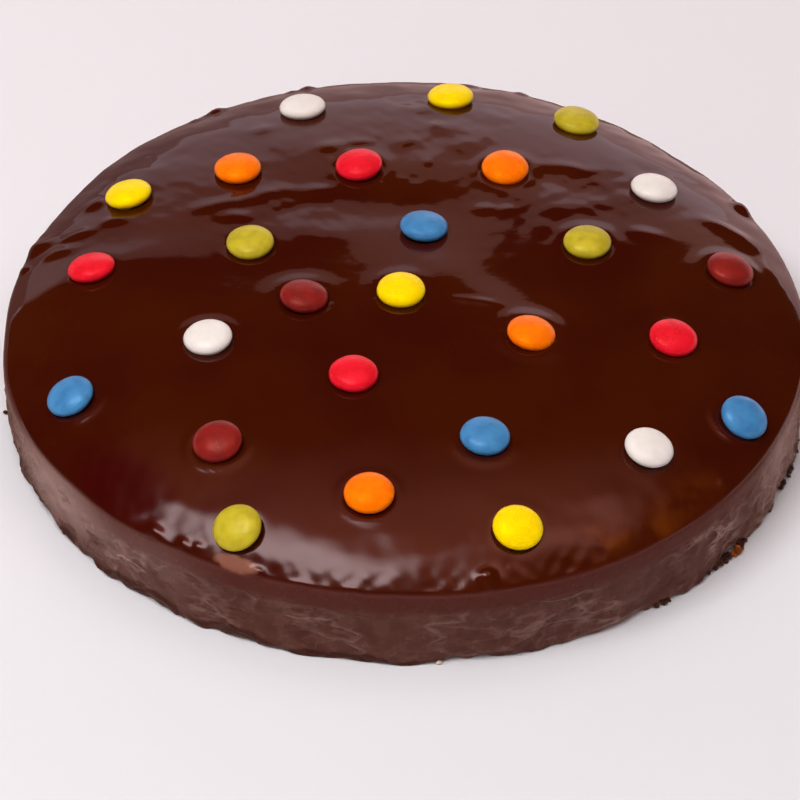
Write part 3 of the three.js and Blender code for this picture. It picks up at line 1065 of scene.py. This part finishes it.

# %% Paint shade into the pockets and the pits, and a shadow along the foot
# The pockets and the pits are painted darker, a painted shade in the hollows, and they are sunk in the
# bump as well.
shaded_pockets = coat.between(coat.noise(drawn_out(1.7), 90, detail=2), 0.57, 0.66) * below_band
pits = coat.between(coat.noise(place, 150, detail=1), 0.70, 0.76) * below_band
foot_shadow_height = coat.between(coat.noise(place, 70, detail=3), 0.35, 0.70, 0.1 * MM, 3.4 * MM)
foot_shadow_height = foot_shadow_height + coat.between(east, -85 * MM, 0, 2.6 * MM, 0)
foot_shadow = coat.between(up - foot_shadow_height, -0.3 * MM, 0.9 * MM, 1, 0)
# Painted into the wall's colour: shade in the pockets and the pits, a shadow along the foot that
# reaches higher on the left, and a pale highlight on the ledges. The shade in the pockets and the
# highlight on the ledges are stronger towards the sides.
for mask, tone in (
    (shaded_pockets * (0.35 + towards_sides * 0.3), GLAZE_WALL_DARK_AND_SHADE),
    (lines * (0.26 + towards_sides * 0.5), GLAZE_LEDGE_HIGHLIGHT),
    (pits * 0.7, GLAZE_PAINTED_SHADE),
    (foot_shadow * 0.8, GLAZE_PAINTED_SHADE),
    (painted_highlight * 0.85, GLAZE_PAINTED_HIGHLIGHT),
):
    wall_colour = coat.blend(mask, wall_colour, tone)

# %% Finish the glaze
LAMP_IMAGE = around(110 * MM, -104, 28 * MM)
LAMP_IMAGE_SIZE = (85 * MM, 26 * MM, 20 * MM)

fine = coat.noise(place, 420, detail=2)
on_wall = lines * 0.45 - shaded_pockets * 0.30 + crumbly * 0.08 * below_band + fine * 0.03 - pits * 0.4
grain = fine * top * 0.012 + on_wall * (1 - top)
near_light = coat.fade_from(place, LAMP_IMAGE, LAMP_IMAGE_SIZE, -14)
relief = coat.bump(grain, 1 * MM)
glossy = coat.shader(
    Base_Color=top_colour,
    Roughness=coat.between(near_light, 0, 1, 0.06, 0.16),
    Normal=relief,
    IOR=1.45,
    Specular_Tint=colour(1.0, 0.72, 0.70),
)
satin = coat.shader(
    Base_Color=wall_colour,
    Roughness=coat.between(crumbly, 0.3, 0.7, 0.22, 0.30),
    Normal=relief,
    IOR=1.36,
    Specular_Tint=colour(1.0, 0.55, 0.45),
)
by_height = coat.node("MixShader", values={0: top, 1: satin, 2: glossy})
dress(glaze, coat.surface(by_height))
print("nodes of the glaze's finish:", len(coat.tree.nodes))

# %% [markdown]
# ## The sponge's finish
#
# The sole of the cake and its crumbs are baked chocolate sponge: matt, open, and of two browns.

# %% Finish the sponge and the crumbs
def sponge_finish(name, light, dark, scale):
    baked = Finish(name)
    place = baked.place()
    cells = baked.node(
        "TexVoronoi", {"feature": "SMOOTH_F1"},
        {"Vector": place, "Scale": scale, "Smoothness": 0.6},
    )
    mottle = baked.noise(place, scale * 0.4, detail=5, roughness=0.6)
    shade = baked.between(mottle + cells * 0.3, 0.4, 0.8)
    return baked.surface(
        Base_Color=baked.blend(shade, colour(*light), colour(*dark)),
        Roughness=baked.between(mottle, 0.3, 0.7, 0.75, 0.95),
        Normal=baked.bump(cells + mottle, 0.0008),
    )


for piece, *look in (
    (sponge, "baked_sponge", (0.085, 0.032, 0.014), (0.03, 0.010, 0.005), 520),
    (crumbs["crumbs_dark"], "dark_crumb", (0.10, 0.032, 0.014), (0.030, 0.008, 0.004), 900),
    (crumbs["crumbs_amber"], "amber_crumb", (0.55, 0.14, 0.012), (0.20, 0.035, 0.004), 900),
    (crumbs["crumb_sugar"], "sugar_crumb", (0.85, 0.78, 0.70), (0.45, 0.33, 0.26), 900),
):
    dress(piece, sponge_finish(*look))
    print("baked finish on", piece.name)

# %% [markdown]
# ## The lentils' finish
#
# A sugar shell has a soft gloss under a thin wax, and its colour is laid in many thin coats, so it
# is a little cloudy, with paler specks where it rubbed against the others.

# %% Finish the shells
SHELL_COLOURS = {
    # light and dark tone of the sugar coats, and the tint of their gloss
    "white": ((0.84, 0.79, 0.75), (0.79, 0.73, 0.68), (1, 0.95, 0.90)),
    "yellow": ((1.00, 0.73, 0.0005), (0.98, 0.66, 0.0003), (1, 0.85, 0.0)),
    "green": ((0.56, 0.45, 0.022), (0.43, 0.34, 0.012), (1, 0.95, 0.45)),
    "orange": ((1.00, 0.205, 0.0005), (0.97, 0.155, 0.0003), (1, 0.50, 0.02)),
    "red": ((0.84, 0.008, 0.024), (0.72, 0.004, 0.013), (1, 0.28, 0.32)),
    "blue": ((0.056, 0.240, 0.50), (0.038, 0.182, 0.41), (0.55, 0.80, 1)),
    "maroon": ((0.24, 0.012, 0.009), (0.17, 0.009, 0.007), (1, 0.36, 0.30)),
}


def shell_finish(name, light, dark, gloss):
    shell = Finish("shell_" + name)
    place = shell.place()
    clouds = shell.noise(place, 260, detail=3)
    rubbed = shell.noise(place, 1500, detail=2)
    tone = shell.blend(shell.between(clouds, 0.35, 0.68), colour(*light), colour(*dark))
    specks = shell.between(rubbed, 0.66, 0.74) * shell.between(clouds, 0.5, 0.6) * 0.25
    pale = colour(*(0.6 * part + 0.4 * 0.85 for part in light))
    return shell.surface(
        Base_Color=shell.blend(specks, tone, pale),
        Roughness=shell.between(clouds, 0.3, 0.7, 0.28, 0.38),
        Normal=shell.bump(clouds * 0.7 + rubbed * 0.3, 0.00015),
        IOR=1.45,
        Specular_Tint=colour(*gloss),
    )


slots = {part["node"]: part["material_slot"] for part in frame["record"]["subparts"]}
shells = {name: shell_finish(name, *tones) for name, tones in SHELL_COLOURS.items()}
for name, lentil in lentils.items():
    slot = slots[name]
    dress(lentil, shells[slot.replace("shell_", "")])
print("shell finishes:", len(shells))

# %% [markdown]
# ## The table and the backdrop
#
# The cake stands on a plain pale floor that turns up at its far edge, as a studio's does. Behind
# the cake a pale card stands, bright below and brown towards its uneven top. It is never in the
# picture, but the far third of the glaze mirrors it, and the edge of that mirror image is the
# most striking line of the whole cake.

# %% Lay the floor
STUDIO_SEGMENTS = 96
FLOOR_RADIUS = 8
FLOOR_TONE = colour(0.775, 0.775, 0.81)
FLOOR_TONE_FAR = colour(0.84, 0.82, 0.855)
FLOOR_RISE = [(8.3, 0.1), (8.5, 0.4), (8.6, 1.6)]
FLOOR_LIT_SPAN = (0.6, 2.6)
FLOOR_GLOW = 0.85

floor = start_ring("floor", STUDIO_SEGMENTS, FLOOR_RADIUS, fill_type="NGON")
bpy.ops.mesh.select_mode(type="EDGE")
bpy.ops.mesh.select_all(action="SELECT")
raise_rows((FLOOR_RADIUS, 0), FLOOR_RISE, bpy.ops.mesh.extrude_edges_move)
to_mode("OBJECT")

ground = Finish("pale_floor")
place = ground.place()
lit_far = ground.between(ground.length(place), *FLOOR_LIT_SPAN)
_, behind, _ = ground.parts(place)
dress(floor, ground.surface(
    Base_Color=ground.blend(ground.between(behind, -0.15, 0.2), FLOOR_TONE, FLOOR_TONE_FAR),
    Roughness=0.7,
    Specular_IOR_Level=0.0,
    Emission_Color=ground.blend(lit_far, colour(0, 0, 0), FLOOR_TONE),
    Emission_Strength=FLOOR_GLOW,
))
print("points of the floor:", len(floor.data.vertices))

# %% Raise the backdrop
BACKDROP_DISTANCE = 3.0
BACKDROP_TOP = [
    # how high the card reaches at each place from left to right, in metres
    (-2.70, 0.0), (-2.34, 0.72), (-1.57, 1.55), (-0.96, 2.07), (-0.40, 2.38), (0.0, 2.32),
    (0.35, 2.12), (0.74, 2.02), (1.04, 1.74), (1.50, 0.93), (1.94, 0.40), (2.10, 0.0),
]
BACKDROP_LEAST = 0.002
BACKDROP_COLUMNS = 60
BACKDROP_ROWS = 12

bpy.ops.object.select_all(action="DESELECT")
bpy.ops.mesh.primitive_grid_add(
    x_subdivisions=BACKDROP_COLUMNS, y_subdivisions=BACKDROP_ROWS, size=1,
    location=(0, BACKDROP_DISTANCE, 0.5), rotation=(math.pi / 2, 0, 0),
)
backdrop = bpy.context.object
backdrop.name = "backdrop"
left, right = BACKDROP_TOP[0][0], BACKDROP_TOP[-1][0]
backdrop.scale.x = right - left
backdrop.location.x = (left + right) / 2
bpy.ops.object.transform_apply()
for x in sorted(set(np.round(places(backdrop)[:, 0], 5))):
    top_here = max(BACKDROP_LEAST, float(np.interp(x, *zip(*BACKDROP_TOP))))
    scale_points(backdrop, np.abs(places(backdrop)[:, 0] - x) < 1e-4, (1, 1, top_here))

card = Finish("pale_backdrop")
across_card, rise, _ = card.parts(card.node("UVMap"))
glow = card.node("ValToRGB", {"stops": [
    (0.0, colour(1.0, 0.80, 0.88)), (0.70, colour(0.97, 0.75, 0.80)),
    (0.78, colour(0.66, 0.41, 0.37)), (1.0, colour(0.58, 0.34, 0.28)),
]}, {0: rise})
brighter_right = card.between(across_card, 0.15, 0.95, 0.45, 1.08)
dress(backdrop, card.glow(glow, brighter_right * 1.4))
print("height of the backdrop:", round(backdrop.dimensions.z, 2), "m")

# %% [markdown]
# At the far rim the face is so steep that it would mirror the floor just behind the cake, and a
# glancing mirror is a strong one. A low brown strip bent round the back stands in the way.

# %% Bend a strip round the back
STRIP_RADIUS = 0.20
STRIP_HEIGHT = 0.045
STRIP_TONE = colour(0.62, 0.42, 0.42)


def show_in_mirrors_only(piece):
    piece.visible_camera = False
    piece.visible_diffuse = False
    piece.visible_shadow = False


strip = start_ring("low_strip", STUDIO_SEGMENTS, STRIP_RADIUS)
raise_rows((STRIP_RADIUS, 0), [(STRIP_RADIUS, STRIP_HEIGHT)], bpy.ops.mesh.extrude_edges_move)
bpy.ops.mesh.select_all(action="SELECT")
bpy.ops.mesh.bisect(plane_co=(0, 0, 0), plane_no=(0, 1, 0), clear_inner=True)
to_mode("OBJECT")
show_in_mirrors_only(strip)

brown = Finish("brown_strip")
sideways, _, _ = brown.parts(brown.place())
dimmer_left = brown.between(sideways, -0.18, 0.18, 0.5, 1.9)
dress(strip, brown.glow(STRIP_TONE, dimmer_left))
print("points of the strip:", len(strip.data.vertices))

# %% [markdown]
# The wall mirrors the floor right beside it, which would grey it at both sides. So a brown mat that
# only mirrors see lies round the foot.

# %% Lay the mat
MAT_RADII = (0.118, 0.30, 0.60)
MAT_HEIGHT = 0.2 * MM
MAT_TONE = colour(0.36, 0.22, 0.19)

mat_rows = [(radius, MAT_HEIGHT) for radius in MAT_RADII]
mat = start_ring("brown_mat", STUDIO_SEGMENTS, *mat_rows[0])
raise_rows(mat_rows[0], mat_rows[1:], bpy.ops.mesh.extrude_edges_move)
to_mode("OBJECT")
show_in_mirrors_only(mat)
dress(mat, Finish("brown_mat").glow(MAT_TONE, 1.0))
print("points of the mat:", len(mat.data.vertices))

# %% [markdown]
# ## The light
#
# One large soft light hangs over the cake, left of the middle, and shows as the pale, broken band
# along the near shoulder. In a mirror an area light is an even patch with a hard edge. So the
# work is shared: area lights that mirrors don't see light the cake, and a ceiling that only
# mirrors see holds the picture of the soft light, with soft edges and a warm glow round it.

# %% Paint the ceiling
CEILING_HEIGHT = 1.3
CEILING_SIZE = (3.2, 2.3, 1)
SOFT_LIGHT_MIDDLE = (-0.42, -0.13)
SOFT_LIGHT_HEADING = math.radians(-28)
SOFT_LIGHT = colour(6.9, 7.7, 8.1)
ROOM_TONE = colour(0.10, 0.030, 0.014)
HAZES = [
    # middle, half-size and colour of the warm glow
    ((0, 0.15, CEILING_HEIGHT), (1.15, 0.95, 1), colour(1.1, 0.50, 0.36)),
    ((0.46, 0.02, CEILING_HEIGHT), (0.42, 0.50, 1), colour(1.5, 0.85, 0.72)),
]

bpy.ops.object.select_all(action="DESELECT")
bpy.ops.mesh.primitive_grid_add(
    x_subdivisions=2, y_subdivisions=2, size=1, location=(0, 0, CEILING_HEIGHT)
)
ceiling = bpy.context.object
ceiling.name = "ceiling"
ceiling.scale = CEILING_SIZE
bpy.ops.object.transform_apply()
show_in_mirrors_only(ceiling)

sky = Finish("painted_ceiling")
place = sky.place()
x, y, _ = sky.parts(place)
x, y = x - SOFT_LIGHT_MIDDLE[0], y - SOFT_LIGHT_MIDDLE[1]
along = x * math.cos(SOFT_LIGHT_HEADING) + y * math.sin(SOFT_LIGHT_HEADING)
across = y * math.cos(SOFT_LIGHT_HEADING) - x * math.sin(SOFT_LIGHT_HEADING)
# The lamp is soft at its four edges, and each pair of numbers is where one starts and ends.
lamp = sky.between(along, -0.52, -0.28) * sky.between(along, 0.26, 0.62, 1, 0)
lamp = lamp * sky.between(across, 0.02, 0.38, 1, 0) * sky.between(across, -0.30, -0.14)
paint_tone = sky.blend(lamp, ROOM_TONE, SOFT_LIGHT)
for middle, size, tone in HAZES:
    haze = sky.fade_from(place, middle, size, core=0.15)
    paint_tone = sky.blend(haze, paint_tone, tone, kind="ADD")
dress(ceiling, sky.glow(paint_tone, 1.0))
print("hazes on the ceiling:", len(HAZES))

# %% Hang the lights
def hang_panel(name, middle, breadth, brightness, heading=0):
    """An area light that faces down, given by its brightness as seen, not by its power."""
    bpy.ops.object.light_add(type="AREA", location=middle, rotation=(0, 0, heading))
    panel = bpy.context.object
    panel.name = name
    panel.data.shape = "RECTANGLE"
    panel.data.size, panel.data.size_y = breadth
    panel.data.energy = brightness * math.pi * breadth[0] * breadth[1]
    panel.visible_camera = False
    panel.visible_glossy = False
    print(name, round(panel.data.energy, 1), "W")


hang_panel("soft_light", (-0.45, -0.38, CEILING_HEIGHT), (0.96, 0.50), 8.8, SOFT_LIGHT_HEADING)
hang_panel("wide_fill", (0, 0, 2.4), (4.2, 4.2), 0.80)

# %% Tint the room
ROOM_FRONT = colour(0.5, 0.40, 0.36)

world = bpy.data.worlds.new("studio")
bpy.context.scene.world = world
room = Finish("studio", owner=world)
sideways, away, aloft = room.parts(room.node("TexCoord", output="Generated"))
in_front = room.between(away + sideways * 0.45, -1.0, -0.1, 1, 0)
in_front = in_front * room.between(aloft, 0.2, 0.75, 1, 0)
dim = room.node("Background", values={"Color": room.blend(in_front, ROOM_TONE, ROOM_FRONT)})
room.node("OutputWorld", values={"Surface": dim})
bpy.context.scene.view_settings.view_transform = "Standard"
bpy.context.scene.view_settings.look = "None"
